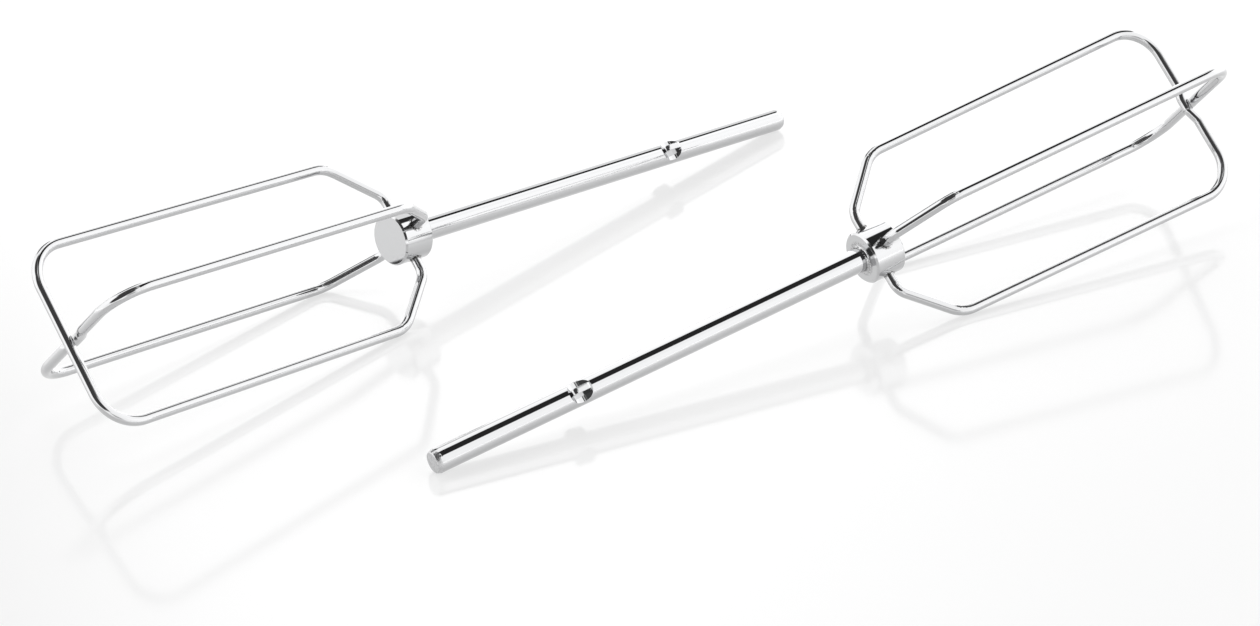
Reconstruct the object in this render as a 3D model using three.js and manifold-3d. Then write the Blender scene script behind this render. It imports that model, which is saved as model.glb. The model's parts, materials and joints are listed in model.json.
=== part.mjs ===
// A pair of hand mixer beaters lying on a flat surface. Millimetres, +Z up.
// Each beater is a drive shaft, a hub and two bent wire loops that cross at the free end.
// A beater is built along its own +X axis, from the middle of its hub towards its free end.
import * as THREE from 'three';
import { mergeVertices } from 'three/addons/utils/BufferGeometryUtils.js';
import Module from 'manifold-3d';

const wasm = await Module();
wasm.setup();

// ---------------------------------------------------------------- driving sizes

const CLEARANCE = 0.3; // gap between pieces that seat in or cross each other

const SHAFT_DIAMETER = 5.5;
const SHAFT_LENGTH = 114; // from the hub's face to the tip
const SPIGOT_DEPTH = 6; // the shaft's length inside the hub
const TIP_CHAMFER_LENGTH = 0.9;
const TIP_CHAMFER_DEPTH = 0.35;

const EAR_FROM_TIP = 37; // the middle of the two drive ears
const EAR_LENGTH = 4.8;
const EAR_HEIGHT = 1.4; // how far an ear stands out of the shaft
const EAR_THICKNESS = 1.4;
const EAR_ROUNDING = 1.2;
const NOTCH_LENGTH = 5.8; // the hollow that each ear stands in
const NOTCH_DEPTH = 1.4;

const HUB_DIAMETER = 12;
const HUB_LENGTH = 7.9;
const HUB_EDGE = 0.4; // chamfer of the hub's two rims
const NECK_HEIGHT = 0.7; // raised ring round the shaft on the hub's face
const NECK_WIDTH = 0.6;

const WIRE_DIAMETER = 2.4;
const STUB_RADIUS = 10; // distance from the axis where a wire turns out of its radial run
const SHOULDER_RADIUS = 20.8; // distance from the axis where the long run starts
const SHOULDER_ADVANCE = 11.4; // from the middle of the hub towards the free end
const CORNER_RADIUS = 21.7; // distance from the axis where the long run ends
const LOOP_LENGTH = 93; // middle of the hub to the outer loop's end bar
const INNER_SETBACK = 1.7; // the inner loop's end bar is this much shorter
const DIP_WIDTH = 9; // the inner loop's dip under the outer loop's end bar
const DIP_FLOOR_WIDTH = 3;
const STUB_BEND = 4.5;
const SHOULDER_BEND = 7.5;
const CORNER_BEND = 8.7;
const DIP_BEND = 3;

const LOOP_ROLL = Math.PI / 4; // each loop's plane stands at 45 degrees when a beater lies down

// Where each beater lies: the middle of its hub and the heading of its free end, in degrees.
// The ears stand in the plane of one loop, a different one in each beater, so that the two mesh.
const BEATERS = [
  { name: 'left_beater', hubX: -30.6, hubY: 42.7, heading: 184, earRoll: LOOP_ROLL },
  { name: 'right_beater', hubX: 41.3, hubY: -36.9, heading: -4, earRoll: -LOOP_ROLL },
];

const ROUND_FACETS = 32; // facets round a turned piece
const HOLE_FACETS = 20;
const WIRE_FACETS = 12;
const NOTCH_FACETS = 64;
const CAP_FACETS = 4;
const BEND_STEP = Math.PI / 18; // largest turn between two rings of a bent wire
const CUTTER_EXCESS = 2; // how far a cutter runs past what it cuts
const TILT_STEPS = 40; // halvings in the search for the tilt at rest

// ---------------------------------------------------------------- sizes that follow

const shaftRadius = SHAFT_DIAMETER / 2;
const hubRadius = HUB_DIAMETER / 2;
const wireRadius = WIRE_DIAMETER / 2;
const hubFront = HUB_LENGTH / 2; // closed face, towards the free end
const hubBack = -HUB_LENGTH / 2; // face that the shaft leaves
const tipX = hubBack - SHAFT_LENGTH;
const boreRadius = shaftRadius + CLEARANCE;
const wireStart = boreRadius; // a wire ends short of the shaft by the clearance
const dipDepth = WIRE_DIAMETER + CLEARANCE - INNER_SETBACK;

// ---------------------------------------------------------------- solids and cuts

function toSolid(geometry) {
  const bare = geometry.clone();
  bare.deleteAttribute('normal');
  bare.deleteAttribute('uv');
  const merged = mergeVertices(bare);
  return new wasm.Manifold(new wasm.Mesh({
    numProp: 3,
    vertProperties: new Float32Array(merged.attributes.position.array),
    triVerts: new Uint32Array(merged.index.array),
  }));
}

function toGeometry(solid) {
  const mesh = solid.getMesh();
  const geometry = new THREE.BufferGeometry();
  geometry.setAttribute('position', new THREE.BufferAttribute(mesh.vertProperties, mesh.numProp));
  geometry.setIndex(new THREE.BufferAttribute(mesh.triVerts, 1));
  geometry.computeVertexNormals();
  return geometry;
}

// A turned piece: its profile's points are [distance from the axis, place along the axis].
function turned(profile) {
  const points = profile.map(([radius, along]) => new THREE.Vector2(radius, along));
  return new THREE.LatheGeometry(points, ROUND_FACETS).rotateZ(-Math.PI / 2);
}

// ---------------------------------------------------------------- bent wire

// The centre line of a bent wire in its own XY plane: straight runs joined by arcs.
// It has a ring at each end of a straight run and at even turns round each arc.
class BentWire extends THREE.Curve {
  constructor(corners) {
    super();
    this.rings = [];
    const last = corners.length - 1;
    this.addEnd(corners[0], corners[1], corners[0]);
    for (let i = 1; i < last; i += 1) {
      this.addBend(corners[i - 1], corners[i], corners[i + 1]);
    }
    this.addEnd(corners[last - 1], corners[last], corners[last]);
  }

  addRing(point, direction) {
    this.rings.push({
      point: new THREE.Vector3(point.x, point.y, 0),
      tangent: new THREE.Vector3(direction.x, direction.y, 0),
    });
  }

  addEnd(from, to, end) {
    this.addRing(end.point, to.point.clone().sub(from.point).normalize());
  }

  addBend(previous, corner, next) {
    const arriving = corner.point.clone().sub(previous.point).normalize();
    const leaving = next.point.clone().sub(corner.point).normalize();
    const turn = Math.atan2(arriving.cross(leaving), arriving.dot(leaving));
    const reach = corner.bend * Math.tan(Math.abs(turn) / 2);
    const start = corner.point.clone().addScaledVector(arriving, -reach);
    const towardCentre = new THREE.Vector2(-arriving.y, arriving.x).multiplyScalar(Math.sign(turn));
    const centre = start.clone().addScaledVector(towardCentre, corner.bend);
    const origin = new THREE.Vector2();
    const steps = Math.ceil(Math.abs(turn) / BEND_STEP);
    for (let i = 0; i <= steps; i += 1) {
      const angle = (turn * i) / steps;
      const point = start.clone().rotateAround(centre, angle);
      this.addRing(point, arriving.clone().rotateAround(origin, angle));
    }
  }

  between(u, key, target) {
    const place = u * (this.rings.length - 1);
    const before = Math.min(Math.floor(place), this.rings.length - 2);
    const [from, to] = [this.rings[before][key], this.rings[before + 1][key]];
    return target.lerpVectors(from, to, place - before);
  }

  getPoint(u, target = new THREE.Vector3()) {
    return this.between(u, 'point', target);
  }

  getPointAt(u, target) {
    return this.getPoint(u, target);
  }

  getTangent(u, target = new THREE.Vector3()) {
    return this.between(u, 'tangent', target).normalize();
  }

  getTangentAt(u, target) {
    return this.getTangent(u, target);
  }
}

// One loop's centre line: out of the hub, over the shoulder, along, across and back again.
function loopPath(endX, endBar) {
  const corner = (x, y, bend) => ({ point: new THREE.Vector2(x, y), bend });
  const side = [
    corner(0, wireStart, 0),
    corner(0, STUB_RADIUS, STUB_BEND),
    corner(SHOULDER_ADVANCE, SHOULDER_RADIUS, SHOULDER_BEND),
    corner(endX, CORNER_RADIUS, CORNER_BEND),
    ...endBar.map(([x, y]) => corner(x, y, DIP_BEND)),
  ];
  const otherSide = side.map(({ point, bend }) => corner(point.x, -point.y, bend)).reverse();
  return new BentWire([...side, ...otherSide]);
}

const innerEnd = LOOP_LENGTH - INNER_SETBACK;
const outerPath = loopPath(LOOP_LENGTH, []);
const innerPath = loopPath(innerEnd, [
  [innerEnd, DIP_WIDTH / 2],
  [innerEnd - dipDepth, DIP_FLOOR_WIDTH / 2],
]);

function wireLoop(path) {
  const section = new THREE.Shape().absarc(0, 0, wireRadius, 0, 2 * Math.PI);
  return new THREE.ExtrudeGeometry(section, {
    extrudePath: path,
    steps: path.rings.length - 1,
    curveSegments: WIRE_FACETS / 2,
  });
}

// ---------------------------------------------------------------- shaft and hub

function rod() {
  const spigotEnd = hubBack + SPIGOT_DEPTH;
  return turned([
    [0, tipX],
    [shaftRadius - TIP_CHAMFER_DEPTH, tipX],
    [shaftRadius, tipX + TIP_CHAMFER_LENGTH],
    [shaftRadius, spigotEnd],
    [0, spigotEnd],
  ]);
}

// Both ears are one flat tongue with round corners that runs across the shaft.
function ears() {
  const halfLength = EAR_LENGTH / 2;
  const top = shaftRadius + EAR_HEIGHT;
  const outline = new THREE.Shape();
  outline.absarc(halfLength - EAR_ROUNDING, top - EAR_ROUNDING, EAR_ROUNDING, 0, Math.PI / 2);
  outline.absarc(EAR_ROUNDING - halfLength, top - EAR_ROUNDING, EAR_ROUNDING, Math.PI / 2, Math.PI);
  outline.absarc(EAR_ROUNDING - halfLength, EAR_ROUNDING - top, EAR_ROUNDING, Math.PI, 1.5 * Math.PI);
  outline.absarc(halfLength - EAR_ROUNDING, EAR_ROUNDING - top, EAR_ROUNDING, 1.5 * Math.PI, 2 * Math.PI);
  const tongue = new THREE.ExtrudeGeometry(outline, {
    depth: EAR_THICKNESS,
    bevelEnabled: false,
    curveSegments: CAP_FACETS,
  });
  return tongue.translate(tipX + EAR_FROM_TIP, 0, -EAR_THICKNESS / 2);
}

function notch(ear) {
  const halfLength = NOTCH_LENGTH / 2;
  const radius = (halfLength ** 2 + NOTCH_DEPTH ** 2) / (2 * NOTCH_DEPTH);
  const width = SHAFT_DIAMETER + 2 * CUTTER_EXCESS;
  const cutter = new THREE.CylinderGeometry(radius, radius, width, NOTCH_FACETS);
  cutter.rotateX(Math.PI / 2);
  cutter.translate(tipX + EAR_FROM_TIP, shaftRadius - NOTCH_DEPTH + radius, 0);
  return cutter.rotateX(ear);
}

function shaft() {
  let solid = toSolid(rod());
  for (const ear of [0, Math.PI]) {
    solid = solid.subtract(toSolid(notch(ear)));
  }
  return toGeometry(solid.add(toSolid(ears())));
}

function hubBlank() {
  const boreEnd = hubBack + SPIGOT_DEPTH + CLEARANCE;
  const neckTop = hubBack - NECK_HEIGHT;
  const neckRadius = boreRadius + NECK_WIDTH;
  return turned([
    [0, boreEnd],
    [boreRadius, boreEnd],
    [boreRadius, neckTop],
    [neckRadius, neckTop],
    [neckRadius, hubBack],
    [hubRadius - HUB_EDGE, hubBack],
    [hubRadius, hubBack + HUB_EDGE],
    [hubRadius, hubFront - HUB_EDGE],
    [hubRadius - HUB_EDGE, hubFront],
    [0, hubFront],
  ]);
}

function hub() {
  let solid = toSolid(hubBlank());
  const length = HUB_DIAMETER + 2 * CUTTER_EXCESS;
  for (const roll of [-LOOP_ROLL, LOOP_ROLL]) {
    const radius = wireRadius + CLEARANCE;
    const drill = new THREE.CylinderGeometry(radius, radius, length, HOLE_FACETS).rotateX(roll);
    solid = solid.subtract(toSolid(drill));
  }
  return toGeometry(solid);
}

// ---------------------------------------------------------------- how a beater rests

// The beater leans until the shoulders of its two lower wires and the rim of its tip are level.
function restingPose() {
  const rings = [...outerPath.rings, ...innerPath.rings];
  const wireDrop = tilt => wireRadius - Math.min(...rings.map(({ point }) => (
    point.x * Math.sin(tilt) - Math.abs(point.y) * Math.sin(LOOP_ROLL) * Math.cos(tilt)
  )));
  const rimX = tipX + TIP_CHAMFER_LENGTH;
  const tipDrop = tilt => shaftRadius * Math.cos(tilt) - rimX * Math.sin(tilt);
  let [low, high] = [0, Math.PI / 4];
  for (let i = 0; i < TILT_STEPS; i += 1) {
    const tilt = (low + high) / 2;
    if (wireDrop(tilt) > tipDrop(tilt)) low = tilt;
    else high = tilt;
  }
  return { tilt: low, height: tipDrop(low) };
}

// ---------------------------------------------------------------- assembly

function steel(colour, roughness) {
  return new THREE.MeshStandardMaterial({ color: colour, roughness, metalness: 1 });
}

const polished = steel(0xdfe2e4, 0.08);
const brightWire = steel(0xe4e6e8, 0.12);

function beater({ name, hubX, hubY, heading, earRoll }) {
  const group = new THREE.Group();
  const piece = (title, geometry, material, roll) => {
    const mesh = new THREE.Mesh(geometry, material);
    mesh.name = `${name}_${title}`;
    mesh.rotation.x = roll;
    group.add(mesh);
  };
  piece('shaft', shaft(), polished, earRoll);
  piece('hub', hub(), polished, 0);
  piece('outer_wire_loop', wireLoop(outerPath), brightWire, -LOOP_ROLL);
  piece('inner_wire_loop', wireLoop(innerPath), brightWire, LOOP_ROLL);
  const { tilt, height } = restingPose();
  group.position.set(hubX, hubY, height);
  group.rotation.set(0, -tilt, THREE.MathUtils.degToRad(heading), 'ZYX');
  return group;
}

const pair = new THREE.Group();
BEATERS.forEach(place => pair.add(beater(place)));

// The origin is the middle of the pair's footprint, on the surface that it lies on.
const bounds = new THREE.Box3().setFromObject(pair, true);
const middle = bounds.getCenter(new THREE.Vector3());
pair.position.set(-middle.x, -middle.y, -bounds.min.z);

export default pair;
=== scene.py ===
import json
import math

import bpy
from mathutils import Matrix, Vector


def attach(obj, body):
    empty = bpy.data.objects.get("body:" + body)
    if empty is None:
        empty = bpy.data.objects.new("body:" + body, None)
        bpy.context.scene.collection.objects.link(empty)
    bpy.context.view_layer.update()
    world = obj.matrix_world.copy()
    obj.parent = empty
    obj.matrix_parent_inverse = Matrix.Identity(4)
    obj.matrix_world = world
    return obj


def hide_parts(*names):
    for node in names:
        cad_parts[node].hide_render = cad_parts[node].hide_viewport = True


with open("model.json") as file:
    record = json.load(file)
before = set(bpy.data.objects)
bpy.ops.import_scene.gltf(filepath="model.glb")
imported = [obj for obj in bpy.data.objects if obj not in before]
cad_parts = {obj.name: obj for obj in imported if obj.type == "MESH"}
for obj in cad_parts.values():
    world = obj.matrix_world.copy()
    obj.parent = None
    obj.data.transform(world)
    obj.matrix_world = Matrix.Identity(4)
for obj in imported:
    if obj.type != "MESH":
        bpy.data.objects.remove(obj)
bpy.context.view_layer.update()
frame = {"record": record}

# ---------------------------------------------------------------- sizes

MM = 0.001

SHAFT_RADIUS = 2.75 * MM
SHAFT_LENGTH = 114 * MM
SHAFT_SOFTNESS = 0.15 * MM  # the rounding of the shaft's edges
SPIGOT_DEPTH = 6 * MM
TIP_CHAMFER_LENGTH = 0.9 * MM
TIP_CHAMFER_DEPTH = 0.35 * MM

EAR_FROM_TIP = 37 * MM
EAR_LENGTH = 4.8 * MM
EAR_HEIGHT = 1.4 * MM
EAR_THICKNESS = 1.4 * MM
EAR_ROUNDING = 1.2 * MM
NOTCH_LENGTH = 5.8 * MM
NOTCH_DEPTH = 1.4 * MM

HUB_RADIUS = 6 * MM
HUB_LENGTH = 7.9 * MM
HUB_EDGE = 0.4 * MM
HUB_SOFTNESS = 0.08 * MM  # the rounding of the hub's edges and holes
NECK_HEIGHT = 0.7 * MM
NECK_WIDTH = 0.6 * MM
NECK_LIP = 0.05 * MM  # the flat at the neck's end, round the bore

WIRE_RADIUS = 1.2 * MM
STUB_RADIUS = 10 * MM
SHOULDER_RADIUS = 20.8 * MM
SHOULDER_ADVANCE = 11.4 * MM
CORNER_RADIUS = 21.7 * MM
LOOP_LENGTH = 93 * MM
INNER_SETBACK = 1.7 * MM
DIP_WIDTH = 9 * MM
DIP_FLOOR_WIDTH = 3 * MM
DIP_DEPTH = 1.0 * MM
STUB_BEND = 4.5 * MM
SHOULDER_BEND = 7.5 * MM
CORNER_BEND = 8.7 * MM
DIP_BEND = 3 * MM

LOOP_ROLL = math.pi / 4  # each loop's plane, turned this far from level
WIRE_FIT = 0.04 * MM  # the gap round a wire where it enters the hub
BORE_FIT = 0.05 * MM  # the gap round the shaft where it enters the hub
SPIGOT_GAP = 0.3 * MM  # the gap between the spigot and the wires' ends, and beyond its end

HUB_SIDES = 160
SHAFT_SIDES = 240
NOTCH_SIDES = 256
DRILL_SIDES = 64
WIRE_SIDES = 40
EAR_SEGMENTS = 16
NECK_STEPS = 9
NOTCH_RINGS = 12  # rings of faces on the shaft round the notches, so that their outline is true
NOTCH_RINGS_REACH = 1.1 * NOTCH_LENGTH
BEND_STEP = math.radians(3)
MERGE_DISTANCE = 0.002 * MM
SMOOTH_ANGLE = math.radians(35)
SOFTEN_ANGLE = math.radians(30)
SOFTEN_SEGMENTS = 3

HUB_FRONT = HUB_LENGTH / 2
HUB_BACK = -HUB_LENGTH / 2
TIP_X = HUB_BACK - SHAFT_LENGTH
EAR_X = TIP_X + EAR_FROM_TIP

# ---------------------------------------------------------------- working by hand


def deselect_all():
    bpy.ops.object.select_all(action="DESELECT")


def take(piece):
    """Makes one object the only one selected, and the active one."""
    deselect_all()
    piece.select_set(True)
    bpy.context.view_layer.objects.active = piece


def new_piece(name):
    """Names the object that an operator has just added."""
    piece = bpy.context.object
    piece.name = name
    piece.data.name = name
    return piece


def edit(piece):
    """Opens one piece in edit mode."""
    take(piece)
    bpy.ops.object.mode_set(mode="EDIT")


def stop_editing():
    bpy.ops.object.mode_set(mode="OBJECT")


def apply_modifier(piece, kind, **settings):
    take(piece)
    modifier = piece.modifiers.new(kind.title(), kind)
    for setting, value in settings.items():
        setattr(modifier, setting, value)
    bpy.ops.object.modifier_apply(modifier=modifier.name)


def apply_place(piece):
    """Moves a piece's place into its mesh, so that the object itself sits at the origin."""
    take(piece)
    bpy.ops.object.transform_apply(location=True, rotation=True, scale=True)


def tidy_mesh(piece):
    """Merges doubles, turns the faces outwards and smooths what isn't an edge."""
    edit(piece)
    bpy.ops.mesh.select_all(action="SELECT")
    bpy.ops.mesh.remove_doubles(threshold=MERGE_DISTANCE)
    bpy.ops.mesh.normals_make_consistent(inside=False)
    stop_editing()
    take(piece)
    bpy.ops.object.shade_smooth_by_angle(angle=SMOOTH_ANGLE)


def soften_edges(piece, width):
    apply_modifier(
        piece,
        "BEVEL",
        width=width,
        segments=SOFTEN_SEGMENTS,
        limit_method="ANGLE",
        angle_limit=SOFTEN_ANGLE,
    )


def flatten_shading(piece):
    """Lets the large faces rule the shading, so that small cuts don't bend their reflections."""
    apply_modifier(piece, "WEIGHTED_NORMAL", mode="FACE_AREA", weight=50, keep_sharp=True)


def combine(piece, tool, operation):
    """Cuts the tool out of the piece (DIFFERENCE) or adds it (UNION), and removes the tool."""
    apply_modifier(piece, "BOOLEAN", object=tool, operation=operation, solver="EXACT")
    bpy.data.objects.remove(tool, do_unlink=True)


# ---------------------------------------------------------------- turned pieces


def turned(name, profile, sides):
    """A round piece along X. The profile's points are (distance from the axis, place along it)."""
    deselect_all()
    radius, along = profile[0]
    bpy.ops.mesh.primitive_circle_add(
        vertices=sides,
        radius=radius,
        fill_type="NGON",
        location=(along, 0, 0),
        rotation=(0, math.pi / 2, 0),
    )
    piece = new_piece(name)
    apply_place(piece)
    edit(piece)
    for next_radius, next_along in profile[1:]:
        step = (next_along - along, 0, 0)
        bpy.ops.mesh.extrude_region_move(TRANSFORM_OT_translate={"value": step})
        share = next_radius / radius
        bpy.ops.transform.resize(
            value=(1, share, share), center_override=(next_along, 0, 0), orient_type="GLOBAL"
        )
        radius, along = next_radius, next_along
    stop_editing()
    return piece


def notch_cutter(side):
    """A round bar lying across the shaft, on the side (1 or -1) where an ear stands."""
    half_length = NOTCH_LENGTH / 2
    radius = (half_length**2 + NOTCH_DEPTH**2) / (2 * NOTCH_DEPTH)
    deselect_all()
    bpy.ops.mesh.primitive_cylinder_add(
        vertices=NOTCH_SIDES,
        radius=radius,
        depth=4 * SHAFT_RADIUS,
        location=(EAR_X, side * (SHAFT_RADIUS - NOTCH_DEPTH + radius), 0),
    )
    tool = new_piece("notch_cutter")
    apply_place(tool)
    return tool


def ear_tongue():
    """Both ears in one: a flat tongue across the shaft, with round corners."""
    deselect_all()
    height = 2 * (SHAFT_RADIUS + EAR_HEIGHT)
    bpy.ops.mesh.primitive_cube_add(
        size=1, location=(EAR_X, 0, 0), scale=(EAR_LENGTH, height, EAR_THICKNESS)
    )
    tongue = new_piece("ear_tongue")
    apply_place(tongue)
    edit(tongue)
    bpy.ops.mesh.select_mode(type="EDGE")
    bpy.ops.mesh.select_all(action="DESELECT")
    stop_editing()
    for edge in tongue.data.edges:
        first, second = (tongue.data.vertices[i].co for i in edge.vertices)
        edge.select = abs((first - second).z) > EAR_THICKNESS / 2
    edit(tongue)
    bpy.ops.mesh.bevel(offset=EAR_ROUNDING, segments=EAR_SEGMENTS, affect="EDGES")
    stop_editing()
    soften_edges(tongue, SHAFT_SOFTNESS)
    return tongue


def shaft(name):
    rings = [
        (SHAFT_RADIUS, EAR_X + NOTCH_RINGS_REACH * (step / NOTCH_RINGS - 1 / 2))
        for step in range(NOTCH_RINGS + 1)
    ]
    piece = turned(
        name,
        [
            (SHAFT_RADIUS - TIP_CHAMFER_DEPTH, TIP_X),
            (SHAFT_RADIUS, TIP_X + TIP_CHAMFER_LENGTH),
            (SHAFT_RADIUS, TIP_X + 2 * TIP_CHAMFER_LENGTH),
            *rings,
            (SHAFT_RADIUS, HUB_BACK + SPIGOT_DEPTH),
        ],
        SHAFT_SIDES,
    )
    tidy_mesh(piece)
    soften_edges(piece, SHAFT_SOFTNESS)
    for side in (1, -1):
        combine(piece, notch_cutter(side), "DIFFERENCE")
    combine(piece, ear_tongue(), "UNION")
    tidy_mesh(piece)
    flatten_shading(piece)
    return piece


def neck_fillet(bore):
    """The hollow rounding from the hub's back face to the end of its neck."""
    turns = [math.pi / 2 * step / NECK_STEPS for step in range(NECK_STEPS + 1)]
    return [
        (
            bore + NECK_LIP + NECK_WIDTH * (1 - math.sin(turn)),
            HUB_BACK - NECK_HEIGHT * (1 - math.cos(turn)),
        )
        for turn in turns
    ]


def hub(name):
    bore = SHAFT_RADIUS + BORE_FIT
    piece = turned(
        name,
        [
            (HUB_RADIUS - HUB_EDGE, HUB_FRONT),
            (HUB_RADIUS, HUB_FRONT - HUB_EDGE),
            (HUB_RADIUS, HUB_BACK + HUB_EDGE),
            (HUB_RADIUS - HUB_EDGE, HUB_BACK),
            *neck_fillet(bore),
            (bore, HUB_BACK - NECK_HEIGHT),
            (bore, HUB_BACK + SPIGOT_DEPTH + SPIGOT_GAP),
        ],
        HUB_SIDES,
    )
    tidy_mesh(piece)
    for roll in (-LOOP_ROLL, LOOP_ROLL):
        deselect_all()
        bpy.ops.mesh.primitive_cylinder_add(
            vertices=DRILL_SIDES,
            radius=WIRE_RADIUS + WIRE_FIT,
            depth=3 * HUB_RADIUS,
            rotation=(roll + math.pi / 2, 0, 0),
        )
        drill = new_piece("drill")
        apply_place(drill)
        combine(piece, drill, "DIFFERENCE")
    soften_edges(piece, HUB_SOFTNESS)
    tidy_mesh(piece)
    flatten_shading(piece)
    return piece


# ---------------------------------------------------------------- bent wire


def loop_corners(end_x, end_bar):
    """Corners of a loop's centre line in its own XY plane, each with its bend's radius."""
    side = [
        (0, SHAFT_RADIUS + SPIGOT_GAP, 0),
        (0, STUB_RADIUS, STUB_BEND),
        (SHOULDER_ADVANCE, SHOULDER_RADIUS, SHOULDER_BEND),
        (end_x, CORNER_RADIUS, CORNER_BEND),
        *((x, y, DIP_BEND) for x, y in end_bar),
    ]
    other_side = [(x, -y, bend) for x, y, bend in reversed(side)]
    return [(Vector((x, y, 0)), bend) for x, y, bend in side + other_side]


def wire_loop(name, corners):
    """A rod's end face, drawn out along each straight run and spun round each bend."""
    start, _ = corners[0]
    deselect_all()
    bpy.ops.mesh.primitive_circle_add(
        vertices=WIRE_SIDES,
        radius=WIRE_RADIUS,
        fill_type="NGON",
        location=start,
        rotation=(math.pi / 2, 0, 0),
    )
    piece = new_piece(name)
    apply_place(piece)
    edit(piece)
    here = start
    for i in range(1, len(corners)):
        corner, radius = corners[i]
        arriving = (corner - here).normalized()
        if i + 1 < len(corners):
            leaving = (corners[i + 1][0] - corner).normalized()
            turn = math.atan2(arriving.cross(leaving).z, arriving.dot(leaving))
        else:
            leaving, turn = arriving, 0
        bend_start = corner - arriving * radius * math.tan(abs(turn) / 2)
        bpy.ops.mesh.extrude_region_move(
            TRANSFORM_OT_translate={"value": bend_start - here}
        )
        here = bend_start
        if turn:
            toward_centre = Vector((-arriving.y, arriving.x, 0)) * math.copysign(1, turn)
            centre = bend_start + toward_centre * radius
            bpy.ops.mesh.spin(
                steps=math.ceil(abs(turn) / BEND_STEP),
                angle=-turn,  # a spin turns clockwise
                center=centre,
                axis=(0, 0, 1),
            )
            here = corner + leaving * radius * math.tan(abs(turn) / 2)
    stop_editing()
    tidy_mesh(piece)
    return piece


OUTER_CORNERS = loop_corners(LOOP_LENGTH, [])
INNER_END = LOOP_LENGTH - INNER_SETBACK
INNER_CORNERS = loop_corners(
    INNER_END,
    [(INNER_END, DIP_WIDTH / 2), (INNER_END - DIP_DEPTH, DIP_FLOOR_WIDTH / 2)],
)

# ---------------------------------------------------------------- materials

CHROME_COLOUR = (0.565, 0.567, 0.573, 1)

# Each mark has a size, and the two levels of its noise between which it fades in.
POLISH_ROUGHNESS = 0.025
SMUDGE_ROUGHNESS = 0.05
SMUDGE_SIZE = 14 * MM
SMUDGE_LEVELS = (0.4, 0.75)
WIPING_ROUGHNESS = 0.03
WIPING_SIZE = 0.5 * MM
WIPING_STRETCH = 0.03
WIPING_LEVELS = (0.5, 0.8)
GRAIN_SIZE = 0.12 * MM
GRAIN_HEIGHT = 0.0003 * MM
RIPPLE_SIZE = 5 * MM
RIPPLE_STRETCH = 0.1
RIPPLE_HEIGHT = 0.0025 * MM

SCRATCH_ROUGHNESS = 0.12
SCRATCH_SIZE = 0.1 * MM
SCRATCH_STRETCH = 0.02
SCRATCH_LEVELS = (0.76, 0.8)
SHAFT_SCRATCH_LEAN = 0.05
HUB_SCRATCH_LEAN = 0.4
WIRE_SCRATCH_LEAN = 0.1

TURNING_PITCH = 0.09 * MM
TURNING_HEIGHT = 0.0012 * MM
SHAFT_TURNING_STRENGTH = 0.3

SAW_PITCH = 0.16 * MM
SAW_HEIGHT = 0.06 * MM
SAW_WANDER = 0.6 * MM
SAW_WANDER_SIZE = 1.5 * MM
SAW_LEVELS = (0.35, 0.65)
END_ROUGHNESS = 0.36
END_FADE = 0.3 * TIP_CHAMFER_LENGTH

WEAR_ROUGHNESS = 0.1
WEAR_PITCH = 0.25 * MM
WEAR_LEVELS = (0.52, 0.7)
WEAR_PATCH_SIZE = 4 * MM
WEAR_PATCH_LEVELS = (0.42, 0.62)
WEAR_FADE_AT_TIP = 3 * MM
WEAR_FADE_AT_EARS = 4 * MM

RESIDUE_COLOUR = (0.05, 0.045, 0.04, 1)
RESIDUE_ROUGHNESS = 0.5
RESIDUE_WIDTH = 0.7 * MM
RESIDUE_SIZE = 0.35 * MM
RESIDUE_LEVELS = (0.42, 0.56)
NECK_RESIDUE_RADIUS = SHAFT_RADIUS + SPIGOT_GAP + NECK_WIDTH
NECK_RESIDUE_SHARE = 0.35
NECK_RESIDUE_FROM = HUB_BACK + 0.05 * MM
NECK_RESIDUE_UNTIL = HUB_BACK + 0.1 * MM
WIRE_RESIDUE_FROM = 4 * MM
WIRE_RESIDUE_UNTIL = 6 * MM

BEND_MARK_SIZE = 0.9 * MM
BEND_MARK_HEIGHT = 0.06 * MM
BEND_MARK_CORE = 1.05 * MM
BEND_MARK_REACH = 3.5 * MM


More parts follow.
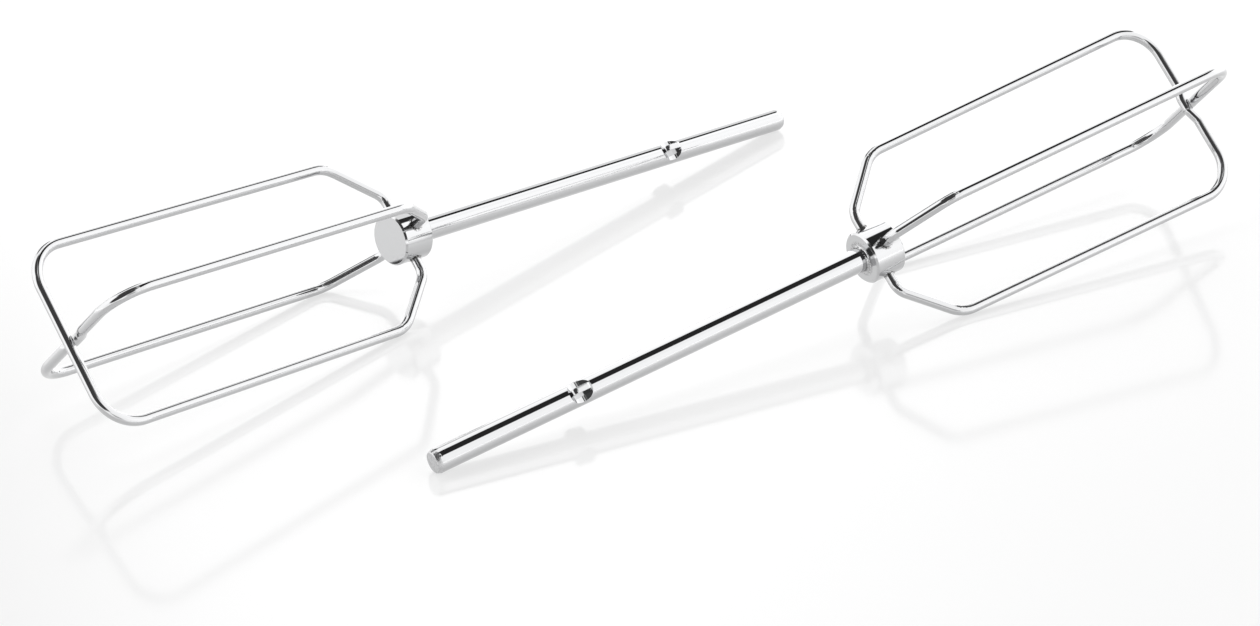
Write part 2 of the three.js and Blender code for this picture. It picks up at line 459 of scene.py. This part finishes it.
class Wiring:
    """Adds nodes to a node tree and joins them up."""

    def __init__(self, tree):
        self.tree = tree

    def node(self, kind, **settings):
        """Adds a node of the given kind."""
        node = self.tree.nodes.new(kind)
        for setting, value in settings.items():
            setattr(node, setting, value)
        return node

    def feed(self, socket, value):
        """Joins another node's output to an input, or sets the input to a constant."""
        if isinstance(value, bpy.types.NodeSocket):
            self.tree.links.new(value, socket)
        else:
            socket.default_value = value

    def math(self, operation, first, second=0.0):
        node = self.node("ShaderNodeMath", operation=operation)
        self.feed(node.inputs[0], first)
        self.feed(node.inputs[1], second)
        return node.outputs[0]

    def length(self, first, second):
        """The length of a vector with the two given parts."""
        first_squared = self.math("MULTIPLY", first, first)
        second_squared = self.math("MULTIPLY", second, second)
        return self.math("SQRT", self.math("ADD", first_squared, second_squared))

    def vector(self, operation, first, second):
        node = self.node("ShaderNodeVectorMath", operation=operation)
        self.feed(node.inputs[0], first)
        self.feed(node.inputs[1], second)
        return node.outputs["Value" if operation in ("DOT_PRODUCT", "DISTANCE") else "Vector"]

    def ramp(self, value, from_low, from_high, to_low=0.0, to_high=1.0):
        """Goes smoothly from to_low to to_high while the value goes from from_low to from_high."""
        node = self.node("ShaderNodeMapRange", interpolation_type="SMOOTHSTEP")
        self.feed(node.inputs["Value"], value)
        node.inputs["From Min"].default_value = from_low
        node.inputs["From Max"].default_value = from_high
        node.inputs["To Min"].default_value = to_low
        node.inputs["To Max"].default_value = to_high
        return node.outputs["Result"]

    def noise(self, vector, size, detail):
        """Random grains of about the given size."""
        node = self.node("ShaderNodeTexNoise")
        self.feed(node.inputs["Vector"], vector)
        node.inputs["Scale"].default_value = 1 / size
        node.inputs["Detail"].default_value = detail
        return node.outputs["Fac"]

    def lines(self, place_along, pitch):
        """Random lines across the given length, about a pitch apart."""
        node = self.node("ShaderNodeTexNoise", noise_dimensions="1D")
        self.feed(node.inputs["W"], place_along)
        node.inputs["Scale"].default_value = 1 / pitch
        node.inputs["Detail"].default_value = 3
        return node.outputs["Fac"]


class Finish:
    """A chrome material in one piece's own frame, built up mark by mark."""

    def __init__(self, name, place):
        self.material = bpy.data.materials.new(name)
        self.material.use_nodes = True
        self.wiring = Wiring(self.material.node_tree)
        self.shader = self.material.node_tree.nodes["Principled BSDF"]
        self.shader.inputs["Base Color"].default_value = CHROME_COLOUR
        self.shader.inputs["Metallic"].default_value = 1
        mapping = self.wiring.node("ShaderNodeMapping", vector_type="TEXTURE")
        mapping.inputs["Location"].default_value = place.to_translation()
        mapping.inputs["Rotation"].default_value = place.to_euler()
        coordinates = self.wiring.node("ShaderNodeTexCoord").outputs["Object"]
        self.wiring.feed(mapping.inputs["Vector"], coordinates)
        self.where = mapping.outputs["Vector"]
        split = self.wiring.node("ShaderNodeSeparateXYZ")
        self.wiring.feed(split.inputs["Vector"], self.where)
        self.x, self.y, self.z = split.outputs
        self.from_axis = self.wiring.length(self.y, self.z)
        self.roughness = None
        self.height = None
        self.residue = None

    def roughen(self, amount):
        """Adds to the roughness of the polish."""
        old = self.roughness
        self.roughness = amount if old is None else self.wiring.math("ADD", old, amount)

    def raise_surface(self, amount):
        """Adds to the height of the fine relief, in metres."""
        old = self.height
        self.height = amount if old is None else self.wiring.math("ADD", old, amount)

    def stretched(self, vector, along):
        """Draws a pattern out along the piece: the smaller the number, the longer its marks."""
        return self.wiring.vector("MULTIPLY", vector, (along, 1, 1))

    def polish(self):
        """Cloudy smudges, wiping marks along the piece, fine grain and long soft ripples."""
        wiring = self.wiring
        smudge = wiring.noise(self.where, SMUDGE_SIZE, detail=4)
        low, high = POLISH_ROUGHNESS, POLISH_ROUGHNESS + SMUDGE_ROUGHNESS
        self.roughen(wiring.ramp(smudge, *SMUDGE_LEVELS, low, high))
        wiping = wiring.noise(self.stretched(self.where, WIPING_STRETCH), WIPING_SIZE, detail=3)
        self.roughen(wiring.ramp(wiping, *WIPING_LEVELS, 0, WIPING_ROUGHNESS))
        grain = wiring.noise(self.where, GRAIN_SIZE, detail=2)
        self.raise_surface(wiring.math("MULTIPLY", grain, GRAIN_HEIGHT))
        ripple = wiring.noise(self.stretched(self.where, RIPPLE_STRETCH), RIPPLE_SIZE, detail=1)
        self.raise_surface(wiring.math("MULTIPLY", ripple, RIPPLE_HEIGHT))

    def scratch(self, lean):
        """Sparse hairline scratches, leaning a little off the piece's length."""
        wiring = self.wiring
        turn = wiring.node("ShaderNodeVectorRotate", rotation_type="EULER_XYZ")
        wiring.feed(turn.inputs["Vector"], self.where)
        turn.inputs["Rotation"].default_value = (lean, lean, lean)
        thin = self.stretched(turn.outputs["Vector"], SCRATCH_STRETCH)
        hair = wiring.ramp(wiring.noise(thin, SCRATCH_SIZE, detail=0), *SCRATCH_LEVELS)
        self.roughen(wiring.math("MULTIPLY", hair, SCRATCH_ROUGHNESS))

    def turn_on_lathe(self, strength=1.0):
        """Rings round the axis, on flat ends and round sides alike."""
        wiring = self.wiring
        rings = wiring.lines(wiring.math("ADD", self.from_axis, self.x), TURNING_PITCH)
        self.raise_surface(wiring.math("MULTIPLY", rings, TURNING_HEIGHT * strength))

    def dress_end(self, end):
        """The dull end that the rod was sawn and chamfered at, with the saw's marks."""
        wiring = self.wiring
        chamfer_end = end + TIP_CHAMFER_LENGTH
        near = wiring.ramp(self.x, chamfer_end, chamfer_end + END_FADE, 1, 0)
        wander = wiring.noise(self.where, SAW_WANDER_SIZE, detail=1)
        wander = wiring.math("MULTIPLY", wander, SAW_WANDER)
        marks = wiring.lines(wiring.math("ADD", self.y, wander), SAW_PITCH)
        face_radius = SHAFT_RADIUS - TIP_CHAMFER_DEPTH
        on_face = wiring.ramp(self.from_axis, face_radius - SHAFT_SOFTNESS, face_radius, 1, 0)
        marked = wiring.math("MULTIPLY", wiring.math("MULTIPLY", marks, on_face), near)
        self.raise_surface(wiring.math("MULTIPLY", marked, SAW_HEIGHT))
        dullness = wiring.ramp(marks, *SAW_LEVELS, END_ROUGHNESS / 2, END_ROUGHNESS)
        self.roughen(wiring.math("MULTIPLY", near, dullness))

    def wear(self, start, end):
        """Rings rubbed where the mixer's socket grips the shaft."""
        wiring = self.wiring
        rings = wiring.ramp(wiring.lines(self.x, WEAR_PITCH), *WEAR_LEVELS)
        inside = wiring.ramp(self.x, start, start + WEAR_FADE_AT_TIP)
        before_end = wiring.ramp(self.x, end - WEAR_FADE_AT_EARS, end, 1, 0)
        patches = wiring.noise(self.where, WEAR_PATCH_SIZE, detail=3)
        patchy = wiring.ramp(patches, *WEAR_PATCH_LEVELS)
        zone = wiring.math("MULTIPLY", wiring.math("MULTIPLY", inside, before_end), patchy)
        worn = wiring.math("MULTIPLY", rings, zone)
        self.roughen(wiring.math("MULTIPLY", worn, WEAR_ROUGHNESS))

    def leave_residue(self, mask):
        """Dull dark specks left by brazing, where the mask allows them."""
        specks = self.wiring.noise(self.where, RESIDUE_SIZE, detail=3)
        specks = self.wiring.ramp(specks, *RESIDUE_LEVELS)
        amount = self.wiring.math("MULTIPLY", specks, mask)
        old = self.residue
        self.residue = amount if old is None else self.wiring.math("MAXIMUM", old, amount)

    def mark_bends(self, bends):
        """Slight dents from the bending tool, round each given point."""
        wiring = self.wiring
        dents = wiring.noise(self.where, BEND_MARK_SIZE, detail=1)
        for bend in bends:
            distance = wiring.vector("DISTANCE", self.where, bend)
            near = wiring.ramp(distance, BEND_MARK_CORE, BEND_MARK_REACH, 1, 0)
            dent = wiring.math("MULTIPLY", dents, near)
            self.raise_surface(wiring.math("MULTIPLY", dent, BEND_MARK_HEIGHT))

    def finished(self):
        """Joins all the marks to the shader, and gives the material."""
        wiring = self.wiring
        if self.residue is not None:
            mix = wiring.node("ShaderNodeMix", data_type="RGBA")
            wiring.feed(mix.inputs["Factor"], self.residue)
            mix.inputs["A"].default_value = CHROME_COLOUR
            mix.inputs["B"].default_value = RESIDUE_COLOUR
            wiring.feed(self.shader.inputs["Base Color"], mix.outputs["Result"])
            self.roughen(wiring.math("MULTIPLY", self.residue, RESIDUE_ROUGHNESS))
        wiring.feed(self.shader.inputs["Roughness"], self.roughness)
        bump = wiring.node("ShaderNodeBump")
        bump.inputs["Strength"].default_value = 1
        bump.inputs["Distance"].default_value = 1
        wiring.feed(bump.inputs["Height"], self.height)
        wiring.feed(self.shader.inputs["Normal"], bump.outputs["Normal"])
        return self.material


def shaft_finish(name, place):
    finish = Finish(name, place)
    finish.polish()
    finish.scratch(SHAFT_SCRATCH_LEAN)
    finish.turn_on_lathe(SHAFT_TURNING_STRENGTH)
    finish.dress_end(TIP_X)
    finish.wear(TIP_X, EAR_X)
    return finish.finished()


def hub_finish(name, place):
    finish = Finish(name, place)
    finish.polish()
    finish.scratch(HUB_SCRATCH_LEAN)
    finish.turn_on_lathe()
    wiring = finish.wiring
    for roll in (-LOOP_ROLL, LOOP_ROLL):
        off_axis = (0, -math.sin(roll), math.cos(roll))
        beside = wiring.vector("DOT_PRODUCT", finish.where, off_axis)
        from_wire = wiring.length(beside, finish.x)
        finish.leave_residue(
            wiring.ramp(from_wire, WIRE_RADIUS, WIRE_RADIUS + RESIDUE_WIDTH, 1, 0)
        )
    neck_end = NECK_RESIDUE_RADIUS + RESIDUE_WIDTH
    round_neck = wiring.ramp(finish.from_axis, NECK_RESIDUE_RADIUS, neck_end, 1, 0)
    behind = wiring.ramp(finish.x, NECK_RESIDUE_FROM, NECK_RESIDUE_UNTIL, 1, 0)
    faint = wiring.math("MULTIPLY", round_neck, NECK_RESIDUE_SHARE)
    finish.leave_residue(wiring.math("MULTIPLY", faint, behind))
    return finish.finished()


def wire_finish(name, place, corners):
    finish = Finish(name, place)
    finish.polish()
    finish.scratch(WIRE_SCRATCH_LEAN)
    bends = [tuple(corner) for corner, bend in corners if bend in (STUB_BEND, SHOULDER_BEND)]
    finish.mark_bends(bends)
    wiring = finish.wiring
    from_hub = wiring.math("ABSOLUTE", finish.y)
    by_hub = wiring.ramp(from_hub, HUB_RADIUS, HUB_RADIUS + RESIDUE_WIDTH, 1, 0)
    stub = wiring.ramp(finish.x, WIRE_RESIDUE_FROM, WIRE_RESIDUE_UNTIL, 1, 0)
    finish.leave_residue(wiring.math("MULTIPLY", by_hub, stub))
    return finish.finished()


# ---------------------------------------------------------------- the two beaters


def beater_place(mount_name):
    """The matrix that lays a beater in its place, from the flat end of its shaft."""
    mount = next(m for m in frame["record"]["mounts"] if m["name"] == mount_name)
    along = -Vector(mount["axis"]).normalized()
    tip = Vector(mount["pos_m"])
    middle = tip - along * TIP_X
    across = Vector((0, 0, 1)).cross(along).normalized()
    up = along.cross(across)
    place = Matrix((along, across, up)).transposed().to_4x4()
    place.translation = middle
    return place


def lay(piece, body, place, roll, part, slot, finish, *details):
    """Puts a piece in its beater's place, rolled about the beater's axis, and finishes it."""
    turned_place = place @ Matrix.Rotation(roll, 4, "X")
    piece.matrix_world = turned_place
    apply_place(piece)
    piece.data.materials.clear()
    piece.data.materials.append(finish(f"{piece.name}_finish", turned_place, *details))
    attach(piece, body)
    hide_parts(f"{body}_{part}")


def beater(body, mount_name, ear_roll):
    """All four pieces of one beater. The ears' roll is the angle at which they stand."""
    place = beater_place(mount_name)
    rod = shaft(f"{body}_polished_shaft")
    lay(rod, body, place, ear_roll, "shaft", "polished_steel", shaft_finish)
    boss = hub(f"{body}_turned_hub")
    lay(boss, body, place, 0, "hub", "polished_steel", hub_finish)
    loops = [("outer", OUTER_CORNERS, -LOOP_ROLL), ("inner", INNER_CORNERS, LOOP_ROLL)]
    for which, corners, roll in loops:
        wire = wire_loop(f"{body}_{which}_wire", corners)
        part = f"{which}_wire_loop"
        lay(wire, body, place, roll, part, "bright_wire", wire_finish, corners)


beater("left_beater", "left_drive_end", LOOP_ROLL)
beater("right_beater", "right_drive_end", -LOOP_ROLL)

# ---------------------------------------------------------------- surface, light and camera

AIM = Vector((-6.0 * MM, 0.7 * MM, 0))
CAMERA_HEADING = math.radians(37.18)  # clockwise from +Y
CAMERA_PITCH = math.radians(27.56)
CAMERA_ROLL = math.radians(-2.905)
CAMERA_DISTANCE = 1.0001
CAMERA_LENS = 127.34
SENSOR_WIDTH = 36
NEAREST_SEEN = 0.05
FARTHEST_SEEN = 50

# A white sheet lit from below as well as from above.
FLOOR_SIZE = 12
FLOOR_WHITE = 0.35
FLOOR_GLOW = 0.58
FLOOR_GLOSS = 0.55
FLOOR_ROUGHNESS = 0.1

# The room's light goes from one to the other between level and this height (as a sine).
HORIZON_LIGHT = 1.45
CEILING_LIGHT = 1.55
CEILING_HEIGHT = 0.8


def add_surface():
    deselect_all()
    bpy.ops.mesh.primitive_plane_add(size=FLOOR_SIZE, location=(0, 0, 0))
    floor = new_piece("white_surface")
    material = bpy.data.materials.new("white_acrylic")
    material.use_nodes = True
    shader = material.node_tree.nodes["Principled BSDF"]
    shader.inputs["Base Color"].default_value = (FLOOR_WHITE, FLOOR_WHITE, FLOOR_WHITE, 1)
    shader.inputs["Roughness"].default_value = FLOOR_ROUGHNESS
    shader.inputs["Specular IOR Level"].default_value = FLOOR_GLOSS
    shader.inputs["Emission Color"].default_value = (1, 1, 1, 1)
    shader.inputs["Emission Strength"].default_value = FLOOR_GLOW
    floor.data.materials.append(material)


AWAY = Vector((math.sin(CAMERA_HEADING), math.cos(CAMERA_HEADING), 0))
RIGHT = Vector((AWAY.y, -AWAY.x, 0))
UP = Vector((0, 0, 1))


def studio_direction(right, away, up):
    """A direction given to the right of the camera, away from it and up, in the room's axes."""
    return RIGHT * right + AWAY * away + UP * up


def heading_direction(heading, height):
    """The same, from degrees clockwise from straight away and degrees above level."""
    heading, height = math.radians(heading), math.radians(height)
    flat = math.cos(height)
    return studio_direction(
        math.sin(heading) * flat, math.cos(heading) * flat, math.sin(height)
    )


# The dark gap between two overhead lights, as planes through the beaters: each plane's inner
# side, how softly it ends, and what share of the light the gap takes.
GAP_SIDES = [
    studio_direction(-0.95, 0.08, 0.688).normalized(),
    studio_direction(0.60, -0.41, 0.075).normalized(),
    studio_direction(0.756, 0.655, -0.12).normalized(),
]
GAP_SOFTNESS = 0.02
GAP_SHARE = 0.98
# Brighter lights round the sides, and dark openings between them: the direction of each,
# its radius in degrees, and how much light it adds or what share of the light it takes.
LAMPS = [
    (heading_direction(30, 8), 45, 0.35),
    (heading_direction(-88, 20), 32, 0.2),
    (heading_direction(98, 12), 24, 0.2),
]
OPENINGS = [
    (heading_direction(-158, 38), 33, 0.95),
    (heading_direction(-115, 74), 24, 0.95),
    (heading_direction(173, 38), 19, 0.95),
    (heading_direction(157, 6), 11, 0.6),
    (heading_direction(152, 62), 11, 0.97),
    (heading_direction(-26, 31), 14, 0.97),
    (heading_direction(18, 36), 12, 0.35),
]
OPENING_SOFTNESS = 4
LAMP_SOFTNESS_SHARE = 1 / 3  # of a lamp's radius


def round_patch(wiring, direction, middle, radius, softness):
    """One inside a round patch of the room, nothing outside it. The sizes are in degrees."""
    edge = math.cos(math.radians(radius + softness))
    core = math.cos(math.radians(radius - softness))
    return wiring.ramp(wiring.vector("DOT_PRODUCT", direction, middle), edge, core)


def overhead_gap(wiring, direction):
    """One inside the gap between the overhead lights, nothing outside it."""
    inside = None
    for side in GAP_SIDES:
        distance = wiring.vector("DOT_PRODUCT", direction, side)
        mask = wiring.ramp(distance, -GAP_SOFTNESS, GAP_SOFTNESS)
        inside = mask if inside is None else wiring.math("MULTIPLY", inside, mask)
    return inside


def add_world():
    world = bpy.data.worlds.new("studio")
    bpy.context.scene.world = world
    world.use_nodes = True
    wiring = Wiring(world.node_tree)
    direction = wiring.node("ShaderNodeTexCoord").outputs["Generated"]
    height = wiring.vector("DOT_PRODUCT", direction, UP)
    light = wiring.ramp(height, 0, CEILING_HEIGHT, HORIZON_LIGHT, CEILING_LIGHT)
    for middle, radius, extra in LAMPS:
        glow = round_patch(wiring, direction, middle, radius, radius * LAMP_SOFTNESS_SHARE)
        light = wiring.math("ADD", light, wiring.math("MULTIPLY", glow, extra))
    dark = wiring.math("MULTIPLY", overhead_gap(wiring, direction), GAP_SHARE)
    for middle, radius, share in OPENINGS:
        patch = round_patch(wiring, direction, middle, radius, OPENING_SOFTNESS)
        dark = wiring.math("MAXIMUM", dark, wiring.math("MULTIPLY", patch, share))
    strength = wiring.math("MULTIPLY", light, wiring.math("SUBTRACT", 1.0, dark))
    background = world.node_tree.nodes["Background"]
    background.inputs["Color"].default_value = (1, 1, 1, 1)
    wiring.feed(background.inputs["Strength"], strength)


def add_camera():
    camera = bpy.data.cameras.new("camera")
    camera.lens = CAMERA_LENS
    camera.sensor_width = SENSOR_WIDTH
    camera.clip_start = NEAREST_SEEN
    camera.clip_end = FARTHEST_SEEN
    eye = bpy.data.objects.new("camera", camera)
    bpy.context.scene.collection.objects.link(eye)
    forward = AWAY * math.cos(CAMERA_PITCH) - UP * math.sin(CAMERA_PITCH)
    up = RIGHT.cross(forward)
    rolled_right = RIGHT * math.cos(CAMERA_ROLL) + up * math.sin(CAMERA_ROLL)
    rolled_up = up * math.cos(CAMERA_ROLL) - RIGHT * math.sin(CAMERA_ROLL)
    turn = Matrix((rolled_right, rolled_up, -forward)).transposed().to_4x4()
    turn.translation = AIM - forward * CAMERA_DISTANCE
    eye.matrix_world = turn
    bpy.context.scene.camera = eye


add_surface()
add_world()
add_camera()
bpy.context.scene.view_settings.view_transform = "Standard"
